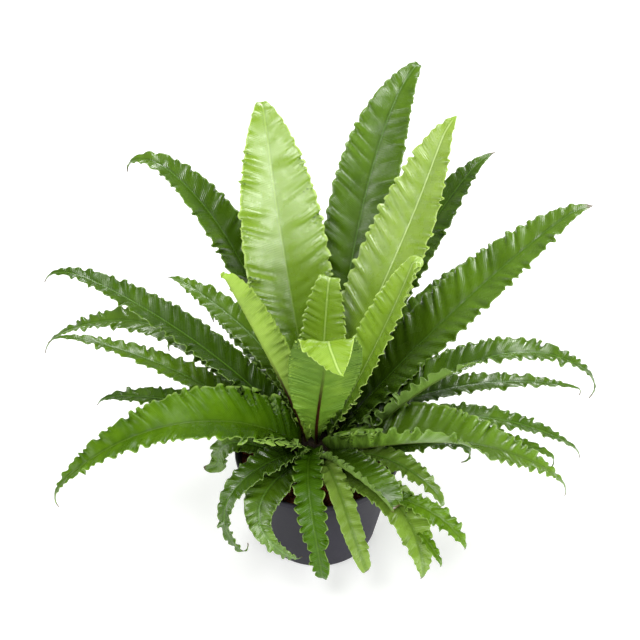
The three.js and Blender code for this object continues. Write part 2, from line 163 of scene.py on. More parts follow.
# One row for each frond, numbered from 1: the first ones are the youngest, in the middle. Stalk (ring
# radius, azimuth), three points on the midrib (a third, two thirds, tip) from the centre of the pot's rim,
# half width, belly (share of the length where it is widest), wave height, age, and what differs from HABIT.
FRONDS = [
    ((6, 80), (4, 22, 75), (8, 36, 153), (13, 46, 229), 26, 0.5, 2.4, "young",
     {"rise": (10, 10), "hook": 10, "crease": (0.9, 0, 110, 5), "pitch": (10, 10), "taper": 0.62,
      "ripple": 0.8, "swell": 0.6, "scallop": 2.6}),
    ((8, 262), (0, -34, 87), (7, -70, 186), (13, -121, 302), 38, 0.62, 2.1, "young",
     {"rise": (6, 6), "roll": (0, 10), "hook": 0, "crease": (0.82, 11, 150, 4), "pitch": (13, 11),
      "taper": 1.3, "ripple": 1.3, "swell": 0.9, "tone": 0.1, "gloss": 0.4, "shade": 1.3}),
    ((14, 185), (-32, -16, 95), (-66, -24, 197), (-98, -32, 286), 25, 0.5, 4.4, "young",
     {"rise": (50, 40), "roll": (-10, -34), "hook": 0, "pitch": (10, 10), "scallop": 2.4, "cup": 0.1,
      "taper": 0.36, "curl": (0.975, 40), "tone": 1.0, "swell": 0.6}),
    ((14, 352), (40, -4, 95), (73, -4, 190), (105, 0, 292), 27, 0.5, 2.1, "young",
     {"rise": (14, 40), "roll": (-30, -50), "hook": 0, "curl": (0.94, 260), "pitch": (12, 12),
      "taper": 0.8, "crown_rise": (35, 60), "swell": 0.6}),
    ((15, 120), (-20, 46, 112), (-42, 97, 244), (-58, 151, 381), 49, 0.52, 3.0, "young",
     {"rise": (12, 12), "pitch": (19, 14), "reach": 2.4, "ripple": 1.7, "scallop": 2.0, "taper": 0.8,
      "curl": (0.96, 90), "tone": -0.3, "gloss": 1.15, "swell": 0.85}),
    ((15, 45), (42, 38, 120), (92, 76, 242), (139, 118, 382), 43, 0.52, 2.9, "young",
     {"rise": (12, 12), "hook": 10, "pitch": (19, 15), "reach": 2.4, "ripple": 1.7, "scallop": 1.8,
      "taper": 0.8, "gloss": 1.2, "swell": 0.6}),
    ((20, 82), (28, 84, 132), (59, 168, 263), (114, 241, 378), 38, 0.58, 2.2, "mature",
     {"hook": 30, "pitch": (12, 14), "curl": (0.96, 120), "scallop": 1.7, "tone": 0.7, "gloss": 0.9,
      "shade": 1.25}),
    ((21, 148), (-50, 60, 117), (-116, 118, 240), (-222, 160, 313), 30, 0.5, 2.2, "mature",
     {"rise": (20, 20), "hook": 70, "pitch": (12, 14), "shade": 1.3}),
    ((21, 18), (80, 26, 88), (176, 72, 174), (298, 118, 268), 39, 0.48, 2.2, "mature",
     {"hook": 10, "pitch": (11, 13), "taper": 0.85, "tone": 0.9, "gloss": 1.2}),
    ((25, 55), (56, 78, 100), (118, 140, 193), (193, 190, 286), 32, 0.5, 2.2, "mature",
     {"rise": (16, 16)}),
    ((24, 348), (84, -18, 76), (190, -20, 160), (326, -14, 102), 30, 0.38, 3.0, "mature",
     {"rise": (15, 54), "late": (15, 20), "hook": 40, "taper": 1.3, "pitch": (11, 13), "crown": 2.0}),
    ((22, 207), (-98, -40, 80), (-202, -68, 84), (-308, -90, 0), 44, 0.34, 2.7, "middle",
     {"rise": (18, 20), "hook": 30, "frill": (0.4, 0.05), "pitch": (10, 13), "tone": 0.5, "swell": 0.25,
      "taper": 1.3, "crown": 2.3, "gloss": 0.5}),
    ((24, 172), (-86, 30, 80), (-195, 62, 158), (-312, 90, 202), 25, 0.45, 2.2, "mature",
     {"rise": (18, 18), "hook": 50, "gloss": 0.8, "shade": 1.25}),
    ((24, 320), (84, -39, 45), (185, -54, 56), (290, -64, -8), 47, 0.35, 3.0, "middle",
     {"rise": (26, 60), "late": (8, 12), "crown_rise": (26, 74), "cup": 0.3, "pitch": (11, 12), "crown": 2.2,
      "taper": 1.5, "tone": 1.2, "gloss": 1.8, "shade": 0.55, "swell": 0.22, "frill": (0.35, 0.04)}),
    ((32, 156), (-82, 46, 52), (-182, 98, 96), (-330, 130, 36), 25, 0.42, 2.2, "mature",
     {"hook": 10, "gloss": 0.8, "shade": 1.2}),
    ((27, 131), (-50, 68, 68), (-106, 118, 100), (-176, 170, 120), 20, 0.5, 2.2, "mature",
     {"gloss": 0.7, "shade": 1.35}),
    ((33, 190), (-90, 8, 58), (-185, 20, 116), (-303, 37, 143), 20, 0.38, 2.0, "mature",
     {"gloss": 1.4}),
    ((35, 14), (98, 36, 38), (200, 56, 48), (312, 72, 22), 16, 0.42, 2.0, "mature",
     {"hook": 5, "curl": (0.96, 90)}),
    ((33, 44), (75, 65, 75), (130, 115, 120), (180, 165, 149), 24, 0.45, 2.2, "mature", {}),
    ((30, 240), (-44, -65, 18), (-65, -112, 4), (-16, -128, -55), 23, 0.32, 2.8, "mature",
     {"rise": (8, 8), "taper": 2.6, "pitch": (8, 10), "swell": 0.22, "tail": 5, "still": 4}),
    ((16, 258), (-11, -75, 28), (-4, -118, -9), (6, -129, -87), 15, 0.4, 2.8, "middle",
     {"rise": (8, 8), "roll": (0, -20), "hook": 10, "pitch": (10, 12.5), "scallop": 4.2, "frill": (0.1, 0),
      "taper": 0.5, "swell": 0.22, "waist": (0.74, 0.42), "tone": -0.3, "gloss": 0.6}),
    ((32, 276), (19, -75, 24), (37, -112, -14), (57, -132, -68), 13, 0.45, 1.4, "middle",
     {"rise": (8, 8), "hook": 10, "taper": 0.42, "gloss": 0.7, "tone": 1.6}),
    ((34, 219), (-52, -60, 38), (-98, -104, 24), (-76, -125, -52), 19, 0.3, 2.6, "mature",
     {"rise": (12, 12), "curl": (0.93, 120), "taper": 2.8, "swell": 0.22, "tail": 5, "still": 4}),
    ((22, 292), (33, -66, 32), (58, -100, 41), (83, -130, 38), 28, 0.56, 3.0, "mature",
     {"rise": (10, 62), "cup": 0.5, "pitch": (8, 10), "taper": 0.36, "swell": 0.22, "frill": (0.2, 0.1),
      "tone": 0.4, "crown": 1.2, "ripple": 0.7, "reach": 4}),
    ((34, 294), (50, -74, 20), (90, -120, 27), (118, -174, -34), 22, 0.55, 2.4, "middle",
     {"rise": (10, 10), "pitch": (9, 12), "tone": 1.5}),
    ((33, 310), (62, -40, 28), (108, -76, 34), (144, -118, 18), 15, 0.45, 2.8, "mature",
     {"hook": 50, "curl": (0.92, 150), "tone": 1.35}),
    ((34, 326), (78, -26, 22), (146, -36, 42), (168, -40, 12), 12, 0.5, 2.1, "mature", {}),
    ((32, 358), (95, 0, 40), (195, 4, 42), (309, 14, -26), 16, 0.45, 2.0, "mature",
     {"hook": 5, "tone": 0.4, "gloss": 0.7}),
    ((35, 342), (92, -2, 14), (190, -4, 18), (286, -14, -14), 15, 0.45, 2.0, "mature",
     {"curl": (0.9, 90), "tone": 0.8}),
    ((35, 172), (-90, 16, 30), (-170, 28, 48), (-258, 38, 40), 16, 0.5, 2.0, "mature", {}),
    ((34, 207), (-58, -16, 14), (-100, -16, 22), (-108, -14, -32), 11, 0.6, 2.6, "mature",
     {"rise": (10, 10), "roll": (0, 70), "hook": -20, "curl": (0.8, -110), "taper": 0.6, "tone": 0.9}),
    ((28, 103), (-10, 95, 90), (-26, 200, 125), (-40, 330, 91), 30, 0.45, 2.2, "mature", {}),
    ((33, 76), (24, 90, 75), (48, 190, 95), (70, 310, 60), 28, 0.45, 2.2, "mature", {}),
    ((35, 119), (-45, 80, 40), (-92, 150, 50), (-132, 222, 6), 24, 0.45, 2.2, "mature", {}),
    ((35, 58), (55, 90, 40), (111, 168, 46), (160, 250, 22), 25, 0.45, 2.2, "mature", {}),
    ((37, 93), (0, 95, 45), (5, 190, 45), (10, 280, -30), 24, 0.45, 2.2, "mature", {}),
    ((36, 141), (-60, 54, 26), (-125, 108, 44), (-184, 158, 14), 20, 0.45, 2.2, "mature", {}),
    ((36, 30), (80, 46, 20), (155, 110, 24), (235, 178, -14), 22, 0.45, 2.2, "mature", {}),
]

# A forked frond's side lobes: frond number, share of its length where the lobe leaves the midrib, points
# on the lobe's midrib (a third, two thirds, tip), half width.
LOBES = [
    (25, 0.5, (105, -122, 36), (135, -145, 35), (162, -170, 16), 13),
    (25, 0.62, (112, -140, 10), (125, -158, 2), (136, -170, -14), 6),
]
LOBE_BELLY = 0.5
LOBE_WAVE = 3
LOBE_HABIT = {**HABIT, "rise": (8, 8)}

# How a leaf of each age looks: screen colours, roughness, gloss, and how far the painted shade beside the
# crown reaches, as a share of the length. The crown colour is the colour of that painted shade.
LEAF_LOOKS = {
    "young": {
        "deep": "7A9C20", "fresh": "99B940", "crown": "4A7404", "edge": "C2DE74", "rib": "BDD67C",
        "tip": "97BC3E", "under": "3A5C0A", "under_rib": "2A1006",
        "rough": 0.27, "gloss": 0.9, "shade": 0.66},
    "middle": {
        "deep": "385C02", "fresh": "5E8412", "crown": "244400", "edge": "93B254", "rib": "5A7A24",
        "tip": "5A3A2E", "under": "728F46", "under_rib": "5C6B2A",
        "rough": 0.22, "gloss": 0.32, "shade": 0.4},
    "mature": {
        "deep": "385803", "fresh": "5C8014", "crown": "162E00", "edge": "83A24A", "rib": "557C22",
        "tip": "5A3A2E", "under": "68853C", "under_rib": "46581F",
        "rough": 0.22, "gloss": 0.7, "shade": 0.68}}
PALE_GREEN = "84984A"  # of the blades whose tone is above 1
STALK_BROWN = "3A2A12"

# Bands on a leaf, from none to full or from full to none: distances from the rib in metres, then shares of
# the half width (edge) and of the length
RIB_BAND = (0.0006, 0.0014)
# The painted shade in the groove beside the rib: its band, and where the groove lies
GROOVE_BAND = (0.0003, 0.0012)  # distance from the groove's own line
GROOVE_FROM_RIB = 0.0017
UNDER_RIB_BAND = (0.001, 0.0021)
# the pale margin: the leaf's own paler edge, and partly a painted highlight
EDGE_BAND = (0.93, 0.995)
STALK_BAND = (0.006, 0.03)
# share up to which the painted shade beside the crown is full
CROWN_SHADE_START = 0.04
UNDER_RIB_FADE = (0.3, 0.62)
TIP_BAND = (0.972, 0.992)
VEIN_SPACING = 0.0021
VEIN_WOBBLE = 0.0012
FACE_BAND = (0.3, 0.7)  # of the face layer, from the top (0) to the underside (1)

# How strongly each mark is laid over a leaf's colour, at most. The marks beside the crown and in the groove
# by the rib are painted shade; the pale edge is the margin's own colour, partly a painted highlight.
LEAF_PAINT = {
    "crown": 0.9, "pale": 0.8, "veins": 0.22, "edge": 0.6, "groove_shade": 0.28, "rib": 0.85,
    "fresh below": 0.8, "crown shade below": 0.45, "veins below": 0.14, "tip": 0.8, "stalk": 0.6}
DEEP_TONES = (0, 0.2)  # tones from a faint rib to a full one
FAINT_RIB = 0.3
UNDER_RIB_REST = 0.15  # of the rib below, where it has faded
TONE_SHIFT = 0.5  # how far a blade's tone shifts its mottling
MOTTLE_BAND = (0.25, 0.8)  # from deep to fresh on top
UNDER_MOTTLE_BAND = (0.2, 0.9)  # the same below
PALE_BAND = (1, 2)  # tones from none of the pale green to all of it
ROUGH_SPREAD = (-0.05, 0.1)  # about the roughness of the age
UNDER_ROUGHER = 0.16
UNDER_GLOSS = 0.3

# Other colours: dark, light, and that of the flecks or of the palest fibres and scales
POT_COLOURS = ("1F1E25", "28262F", "403E48")
SOIL_COLOURS = ("34150C", "8A4226", "C8966A")
STOCK_COLOURS = ("171008", "3A2A14", "6E5A30")
GRAIN_SWING = 1.2  # how far the grain shifts the tone of soil and stock
LIGHT_TONES = (0.1, 0.9)  # tones from dark to light
PALE_TONES = (0.85, 1.3)

# Soil and stock in detail
SOIL_SIDES = 180
SOIL_RINGS = 34
MOUND_RADII = [0.6, 0.74, 0.88, 1.0]  # shares of the soil's radius
MOUND_HEIGHTS = [1, 0.7, 0.35, 0]  # shares of the mound's height at these
SOIL_BUMPS = [(2.2, 0.07, 0), (1.5, 0.35, 7), (0.7, 0.9, 3)]  # height, fineness, level of the noise
FIBRE_COUNT = 1500
FIBRE_LENGTH = (5, 17)
FIBRE_RADIUS = (0.25, 0.65)
FIBRE_TONE = (0.2, 1)
FIBRE_LIFT = (0, 2.4)  # of its middle above the soil
FIBRE_MARGINS = (2, 1)  # least distance of its middle and of its ends from the pot
FIBRE_SLOPE = (0.15, 0.25)  # mean and spread
FIBRE_BEND = 0.35
FIBRE_STEPS = 5
STOCK_SIDES = 90
STOCK_RINGS = 26
STOCK_INNER_RING = 1  # its radius
STOCK_FOOT = (0.8, 8)  # share of the radius at the bottom, and the height where it is full
STOCK_BUMPS = [(1.6, 0.16), (0.8, 0.5)]  # height, fineness
SCALE_COUNT = 600
SCALE_LENGTH = (2, 5)
SCALE_RADIUS = (0.3, 0.8)
SCALE_TONE = (0, 0.8)
SCALE_AREA = (0.02, 0.95)  # part of the stock's top, in shares of its area, where they stand
SCALE_SUNK = 1
SCALE_LEAN = (0.1, 0.9)  # outwards
SCALE_SCATTER = 0.35
SCALE_RISE = 0.8
SCALE_BEND = 0.3
SCALE_STEPS = 3
STRAND_THINNING = 0.7  # share of its radius that a fibre or scale loses up to its end
STRAND_CORNERS = [(1, 0), (-0.5, 0.87), (-0.5, -0.87)]
STRAND_REFERENCE = [0.2, 0.3, 1.0]  # its sides are taken square to this
BARE_TONE = 0.3  # of soil and stock between the fibres and scales

# Studio, in metres: the camera at the photograph's viewing angle, and lights as name, place, size, watts
CAMERA_DISTANCE = 2.4
CAMERA_ELEVATION = 42
CAMERA_AIM = (0.0023, 0.0970, 0.2396)
CAMERA_LENS = 118.4
SENSOR_WIDTH = 36
FLOOR_SIZE = 40
FLOOR_TONE = 0.75
FLOOR_GLOW = 0.45
WORLD_STRENGTH = 0.26
LIGHT_AIM = (0, 0, 0.25)
LIGHTS = [
    ("left", (-2.1, -0.5, 0.8), 0.9, 12),
    ("right", (2.0, -1.2, 0.5), 1.0, 28),
    ("front", (0.7, -2.3, 0.6), 1.1, 28),
    ("key", (-0.6, -1.4, 2.6), 0.8, 30),
    ("back", (0.3, 1.9, 2.0), 0.7, 32),
    ("top", (0.5, 0.6, 2.6), 1.2, 30),
]

SEED = 71
rng = np.random.default_rng(SEED)
scene = bpy.context.scene


def smoothstep(x, low, high):
    t = np.clip((x - low) / (high - low), 0, 1)
    return t * t * (3 - 2 * t)


def mix(a, b, share):
    return a + (b - a) * share


def unit(vectors):
    return vectors / np.linalg.norm(vectors, axis=-1, keepdims=True)


def turn(vectors, axes, angles):
    """Each vector turned about its own unit axis by its own angle in radians."""
    c = np.cos(angles)[..., None]
    s = np.sin(angles)[..., None]
    along = np.sum(vectors * axes, axis=-1, keepdims=True)
    return vectors * c + np.cross(axes, vectors) * s + axes * along * (1 - c)


def linear(hexcode):
    """A screen colour as the linear colour that shaders take."""
    parts = [int(hexcode[i:i + 2], 16) / 255 for i in (0, 2, 4)]
    return [p / 12.92 if p <= 0.04045 else ((p + 0.055) / 1.055) ** 2.4 for p in parts] + [1]


# ---------------------------------------------------------------- meshes

def ring_faces(stations, ring):
    """Quads between neighbouring closed rings of points, numbered ring by ring."""
    i = np.arange(stations - 1)[:, None] * ring
    k = np.arange(ring)[None, :]
    following = (k + 1) % ring
    return np.stack([i + k, i + ring + k, i + ring + following, i + following], axis=-1).reshape(-1, 4)


def signed_volume(points, faces):
    a, b, c, d = (points[[f[j] for f in faces]] for j in range(4))
    return np.sum(np.cross(a, b) * c) + np.sum(np.cross(a, c) * d)


def joined(parts):
    """Several parts' points, faces and layers as one."""
    points, faces, layers = [], [], []
    for flat, its_faces, *its_layers in parts:
        offset = sum(len(q) for q in points)
        points.append(flat)
        faces += [[offset + k for k in face] for face in its_faces]
        layers.append(its_layers)
    return np.concatenate(points), faces, [np.concatenate(layer) for layer in zip(*layers)]


def make_mesh(name, points, faces, layers):
    """A smooth mesh object of points in millimetres, with vector layers on its points."""
    mesh = bpy.data.meshes.new(name)
    mesh.from_pydata((np.asarray(points) * MM).tolist(), [], [list(map(int, f)) for f in faces])
    for key, values in layers.items():
        layer = mesh.attributes.new(key, "FLOAT_VECTOR", "POINT")
        layer.data.foreach_set("vector", np.asarray(values, np.float32).ravel())
    mesh.polygons.foreach_set("use_smooth", [True] * len(mesh.polygons))
    mesh.update()
    made = bpy.data.objects.new(name, mesh)
    scene.collection.objects.link(made)
    return made


def finish_piece(piece, node, material):
    piece.data.materials.append(material)
    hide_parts(node)
    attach(piece, "root")


# ---------------------------------------------------------------- a frond's midrib

def stock_top_at(radius):
    return POT_HEIGHT + STOCK_TOP - STOCK_DROP * (radius / STOCK_RADIUS) ** 2


def above_rim(point):
    return np.array(point, float) + [0, 0, POT_HEIGHT]


def bezier(controls, t):
    a, b, c, d = controls
    t = t[:, None]
    s = 1 - t
    place = a * s**3 + 3 * b * s * s * t + 3 * c * s * t * t + d * t**3
    slope = (b - a) * s * s + 2 * (c - b) * s * t + (d - c) * t * t
    return place, unit(slope)


def even_line(base, third, two_thirds, tip):
    """Points at even distances on the cubic that runs through a third, two thirds and the tip."""
    early = (-5 * base + 18 * third - 9 * two_thirds + 2 * tip) / 6
    late = (2 * base - 9 * third + 18 * two_thirds - 5 * tip) / 6
    controls = (base, early, late, tip)
    dense = np.linspace(0, 1, LINE_SAMPLES)
    rough, _ = bezier(controls, dense)
    run = np.concatenate([[0], np.cumsum(np.linalg.norm(np.diff(rough, axis=0), axis=1))])
    steps = int(run[-1] / STATION_STEP)
    t = np.interp(np.linspace(0, run[-1], steps + 1), run, dense)
    return *bezier(controls, t), run[-1]


def bent(share, start, degrees):
    """Radians that are reached evenly between a share of the length and the tip."""
    return math.radians(degrees) * np.clip((share - start) / (1 - start), 0, 1)


def spine(base, points, habit):
    """The midrib's stations: place, along, right, share, and the midrib's length."""
    place, along, length = even_line(base, *points)
    share = np.linspace(0, 1, len(place))
    outward = unit((points[-1] - base) * [1, 1, 0])
    level = np.array([outward[1], -outward[0], 0])
    right = unit(level - along * (along @ level)[:, None])
    bend = bent(share, HOOK_START, habit["hook"]) + bent(share, *habit["curl"])
    steps = turn(np.diff(place, axis=0), right[1:], -bend[1:])
    place = base + np.concatenate([np.zeros((1, 3)), np.cumsum(steps, axis=0)])
    return place, turn(along, right, -bend), right, share, length


def with_foot(line, base):
    """The line with its stalk carried straight down into the stock."""
    place, along, right, share, length = line
    depth = SOCKET_DEPTH + STALK_RISE - GAP
    down = np.linspace(depth, FOOT_TOP, FOOT_STATIONS)[:, None] * [0, 0, 1]
    flat_right = unit(right[0] * [1, 1, 0])
    return (
        np.concatenate([base - down, place]),
        np.concatenate([np.tile([0.0, 0.0, 1.0], (FOOT_STATIONS, 1)), along]),
        np.concatenate([np.tile(flat_right, (FOOT_STATIONS, 1)), right]),
        np.concatenate([np.linspace(0, FOOT_SHARE, FOOT_STATIONS), np.maximum(share, 2 * FOOT_SHARE)]),
        length,
    )


# ---------------------------------------------------------------- a frond's blade

def half_width(share, widest, belly, habit):
    swell = np.sin(np.clip(share / belly, 0, 1) * math.pi / 2) ** habit["swell"]
    power = FALL_POWER + FALL_GAIN * (belly - LOW_BELLY)
    fall = 1 - np.clip((share - belly) / (1 - belly), 0, 1) ** power
    tail = habit["tail"] * smoothstep(share, *TAIL_IN) * (1 - smoothstep(share, *TAIL_OUT))
    body = widest * swell * fall ** habit["taper"] + tail
    if habit["waist"]:
        at, depth = habit["waist"]
        body = body * (1 - depth * np.exp(-((share - at) / WAIST_LENGTH) ** 2))
    return np.maximum(mix(STALK_HALF_WIDTH, TIP_HALF_WIDTH, share**0.5), body)


def fold_over(points, line, crease):
    """Bends what lies past a slanting crease over towards the underside."""
    place, along, right, share, _ = line
    at, skew, degrees, radius = crease
    i = int(np.searchsorted(share, at))
    up = np.cross(right[i], along[i])
    beyond = math.cos(math.radians(skew)) * along[i] + math.sin(math.radians(skew)) * right[i]
    offset = points - place[i]
    distance = offset @ beyond
    height = offset @ up
    angle = np.clip(distance / radius, 0, math.radians(degrees))
    rest = distance - radius * angle
    moved = (radius + height) * np.sin(angle) + rest * np.cos(angle) - distance
    raised = (radius + height) * np.cos(angle) - radius - rest * np.sin(angle) - height
    return points + beyond * moved[..., None] + up * raised[..., None]


def uneven(share, amount, swings, random):
    """A smooth random curve about 0, of about that many swings over the length."""
    phases = random.uniform(0, 2 * math.pi, len(SWAY_RATES))
    rates = swings * SWAY_RATES
    return amount * (sum(np.sin(2 * math.pi * r * share + p) for r, p in zip(rates, phases)) / 2)


def steps_out(reach):
    """Shares of the half width from the rib to the edge, for each station."""
    inner = np.minimum(np.array(RIB_POINTS) / reach[:, None], RIB_LIMITS)
    outer = np.linspace(0, 1, BLADE_STEPS + 1)[1:]
    return np.concatenate([inner, mix(inner[:, -1:], 1, outer[None, :])], axis=1)


def folded(share, out, habit, side):
    """How a half folds up: its tilt, and how far it runs across and up, in half widths."""
    rise = habit["rise"][side]
    late = (habit["late"] or habit["rise"])[side]
    rise = mix(rise, late, smoothstep(share, *LATE_PART))
    rise = mix(habit["crown_rise"][side], rise, smoothstep(share, *CROWN_PART))
    tilt = np.radians(rise)[:, None] * (1 + habit["cup"] * (2 * out - 1))
    gaps = np.diff(out, axis=1)
    middle = (tilt[:, 1:] + tilt[:, :-1]) / 2
    start = np.zeros((len(share), 1))
    across = np.concatenate([start, np.cumsum(np.cos(middle) * gaps, axis=1)], axis=1)
    height = np.concatenate([start, np.cumsum(np.sin(middle) * gaps, axis=1)], axis=1)
    return tilt, across, height


def half_blade(line, reach, wave, habit, side, random):
    """Points of the left (0) or right (1) half from the rib to the edge, as an array of stations by steps,
    with how far out each lies and where its vein leaves the rib."""
    place, along, right, share, length = line
    sign = (-1, 1)[side]
    up = np.cross(right, along)
    out = steps_out(reach)
    tilt, across, height = folded(share, out, habit, side)

    outer_part = smoothstep(share, *OUTER_PART)
    pitch = mix(*habit["pitch"], outer_part) * (1 + uneven(share, *PITCH_SWAY, random))
    pitch = pitch * (1 + uneven(share, *PITCH_JITTER, random))
    run = np.concatenate([[0], np.cumsum(length / (len(share) - 1) / pitch[1:])]) * 2 * math.pi
    vein = share[:, None] - VEIN_SLANT * out * reach[:, None] / length
    phase = np.interp(vein, share, run + uneven(share, *WAVE_DRIFT, random))
    soft = np.interp(vein, share, run / RIPPLE_PITCH + uneven(share, *RIPPLE_DRIFT, random))

    strength = smoothstep(share, *WAVES_RISE) * (1 - TIP_CALM * smoothstep(share, *WAVES_FADE))
    strength = strength * np.clip(pitch / habit["pitch"][1], LOWEST_SHORT_WAVE, 1)
    strength = strength * (1 + uneven(share, *HEIGHT_SWAY, random))
    strength = strength * mix(habit["crown"], 1, outer_part)
    strength = (strength * np.minimum(1, reach / habit["still"]))[:, None]
    ruffle = np.sin(phase) + OVERTONE * np.sin(2 * phase + 1)
    lift = wave * strength * out ** habit["reach"] * ruffle
    ripple = out * (RIPPLE_INNER - RIPPLE_LOSS * out) * np.sin(soft)
    lift = lift + habit["ripple"] * strength * ripple
    scallop = SCALLOP_SWING * np.sqrt(np.abs(np.cos((phase - SCALLOP_LAG) / 2))) - SCALLOP_REST
    stretch = 1 + habit["scallop"] / reach[:, None] * strength * out**SCALLOP_REACH * scallop
    frill = mix(*habit["frill"], outer_part) * pitch
    shift = -(frill[:, None] * strength * out**FRILL_REACH) * np.sin(2 * phase)

    r = reach[:, None, None]
    facing = up[:, None] * np.cos(tilt)[..., None] - sign * right[:, None] * np.sin(tilt)[..., None]
    points = place[:, None] + sign * right[:, None] * (across * stretch)[..., None] * r
    points = points + up[:, None] * height[..., None] * r
    points = points + facing * lift[..., None] + along[:, None] * shift[..., None]
    return points, sign * out, vein * length


def sheet(line, reach, wave, habit, random):
    """The blade's middle surface from its left to its right edge, as the two halves give it."""
    place, along, right, share, length = line
    roll = np.radians(mix(*habit["roll"], share))
    rolled = (place, along, turn(right, along, -roll), share, length)
    halves = [half_blade(rolled, reach, wave, habit, side, random) for side in (0, 1)]
    points, out, vein = (np.concatenate([left[:, :0:-1], right], axis=1) for left, right in zip(*halves))
    if habit["crease"]:
        points = fold_over(points, rolled, habit["crease"])
    return points, out, vein


def thickened(points, out, span, share, age):
    """Closed rings round the blade: over its top, the right edge, back below, and the left edge."""
    normal = unit(np.cross(np.gradient(points, axis=1), np.gradient(points, axis=0)))
    along = share[:, None]
    body = mix(*BODY, np.abs(out)) * mix(*BODY_SHARE, along)
    rib = np.exp(-(span / mix(*RIB_SPREAD, along)) ** 2)
    rib_above = RIB_ABOVE[age] * (1 - RIB_ABOVE_LOSS * along)
    top = points + normal * (body + rib_above * rib)[..., None]
    low = points - normal * (body + mix(*RIB_BELOW, along) * rib)[..., None]
    left = points[:, 0] + unit(points[:, 0] - points[:, 1]) * EDGE_ROUNDING
    right = points[:, -1] + unit(points[:, -1] - points[:, -2]) * EDGE_ROUNDING
    return np.concatenate([top, right[:, None], low[:, ::-1], left[:, None]], axis=1)


def closed(rings):
    """The rings' points in one row, and the faces between and on the ends of them, facing outwards."""
    stations, count = rings.shape[:2]
    flat = rings.reshape(-1, 3)
    faces = ring_faces(stations, count).tolist()
    first = list(range(count))
    last = list(range(len(flat) - count, len(flat)))
    if signed_volume(flat, faces) < 0:
        return flat, [f[::-1] for f in faces] + [first, last[::-1]]
    return flat, faces + [first[::-1], last]


def round_ring(values):
    """Values on the sheet for the points of the rings that thickened() makes."""
    return np.concatenate([values, values[:, -1:], values[:, ::-1], values[:, :1]], axis=1)


def blade(line, widest, belly, wave, habit, age, random):
    """Closed thin blade: points, faces and the layers that its material reads."""
    share = line[3]
    reach = half_width(share, widest, belly, habit)
    points, out, vein = sheet(line, reach, wave, habit, random)
    span = out * reach[:, None]
    rings = thickened(points, out, span, share, age)
    flat, faces = closed(rings)

    stations, width = out.shape
    face = np.tile([0] * width + [0.5] + [1] * width + [0.5], (stations, 1))
    shares = np.repeat(share[:, None], face.shape[1], axis=1)
    chance = random.uniform()
    tone = np.full_like(shares, chance if habit["tone"] is None else habit["tone"])
    where = np.stack([shares, round_ring(out), face], axis=-1)
    run = np.stack([round_ring(vein) * MM, round_ring(span) * MM, tone], axis=-1)
    look = np.tile([habit["gloss"], habit["shade"], 0], (len(flat), 1))  # a layer takes three values
    return flat, faces, where.reshape(-1, 3), run.reshape(-1, 3), look


def frond(number, row, materials):
    (radius, azimuth), third, two_thirds, tip, widest, belly, wave, age, own = row
    habit = {**HABIT, **own}
    angle = math.radians(azimuth)
    base = np.array([radius * math.cos(angle), radius * math.sin(angle), stock_top_at(radius) + STALK_RISE])
    line = spine(base, [above_rim(p) for p in (third, two_thirds, tip)], habit)
    random = np.random.default_rng([SEED, number])
    parts = [blade(with_foot(line, base), widest, belly, wave, habit, age, random)]
    for parent, start, *lobe_points, half in LOBES:
        if parent == number:
            stem = line[0][int(start * (len(line[0]) - 1))]
            side = spine(stem, [above_rim(p) for p in lobe_points], LOBE_HABIT)
            parts.append(blade(side, half, LOBE_BELLY, LOBE_WAVE, LOBE_HABIT, age, random))
    points, faces, (where, run, look) = joined(parts)
    layers = {"blade_where": where, "blade_run": run, "blade_look": look}
    piece = make_mesh(f"frond_{number:02d}_blade", points, faces, layers)
    finish_piece(piece, f"frond_{number:02d}", materials[age])


# ---------------------------------------------------------------- pot, soil and stock

def outer_radius_at(z):
    return mix(BASE_DIAMETER, RIM_DIAMETER - 2 * RIM_LIP, z / POT_HEIGHT) / 2


def inner_radius_at(z):
    return outer_radius_at(z) - WALL


def arc(centre, radius, start, end, steps):
    angles = np.radians(np.linspace(start, end, steps + 1))
    return [(centre[0] + radius * math.cos(a), centre[1] + radius * math.sin(a)) for a in angles]


def turned(name, profile, sides):
    """A profile of (radius, height) points, which starts and ends on the axis, turned round Z."""
    inner = profile[1:-1]
    angles = np.linspace(0, 2 * math.pi, sides, endpoint=False)
    points = [[r * math.cos(a), r * math.sin(a), z] for r, z in inner for a in angles]
    faces = ring_faces(len(inner), sides)[:, ::-1].tolist()
    low, high = len(points), len(points) + 1
    points += [[0, 0, profile[0][1]], [0, 0, profile[-1][1]]]
    last = (len(inner) - 1) * sides
    for k in range(sides):
        following = (k + 1) % sides
        faces.append([low, following, k])
        faces.append([high, last + k, last + following])
    return make_mesh(name, points, faces, {})


def pot(material):
    rim = RIM_DIAMETER / 2
    foot = BASE_DIAMETER / 2 - BASE_ROUNDING
    lip = POT_HEIGHT - RIM_DEPTH
    outside = (BASE_ROUNDING + 2, *OUTER_RINGS, lip - 0.6)
    inside = (lip, *INNER_RINGS, FLOOR + FLOOR_ROUNDING)
    profile = [(0, 0), (foot, 0)]
    profile += arc((foot + 0.3, BASE_ROUNDING), BASE_ROUNDING, -80, -6, 6)
    profile += [(outer_radius_at(z), z) for z in outside]
    profile += arc((rim - LIP_ROUNDING, lip + RIM_LIP + 1), LIP_ROUNDING, -60, 0, 4)
    profile += arc((rim - RIM_ROUNDING, POT_HEIGHT - RIM_ROUNDING), RIM_ROUNDING, 0, 90, 4)
    profile += arc((rim - WALL + MOUTH_ROUNDING, POT_HEIGHT - MOUTH_ROUNDING), MOUTH_ROUNDING, 90, 180, 4)
    profile += [(inner_radius_at(z), z) for z in inside]
    profile += [(inner_radius_at(FLOOR) - FLOOR_ROUNDING, FLOOR), (0, FLOOR)]
    shell = turned("pot_shell", profile, POT_SIDES)
    for i in range(DRAIN_COUNT):
        drain(shell, 2 * math.pi * i / DRAIN_COUNT)
    sharpen(shell, SHARP_EDGE)
    finish_piece(shell, "pot", material)


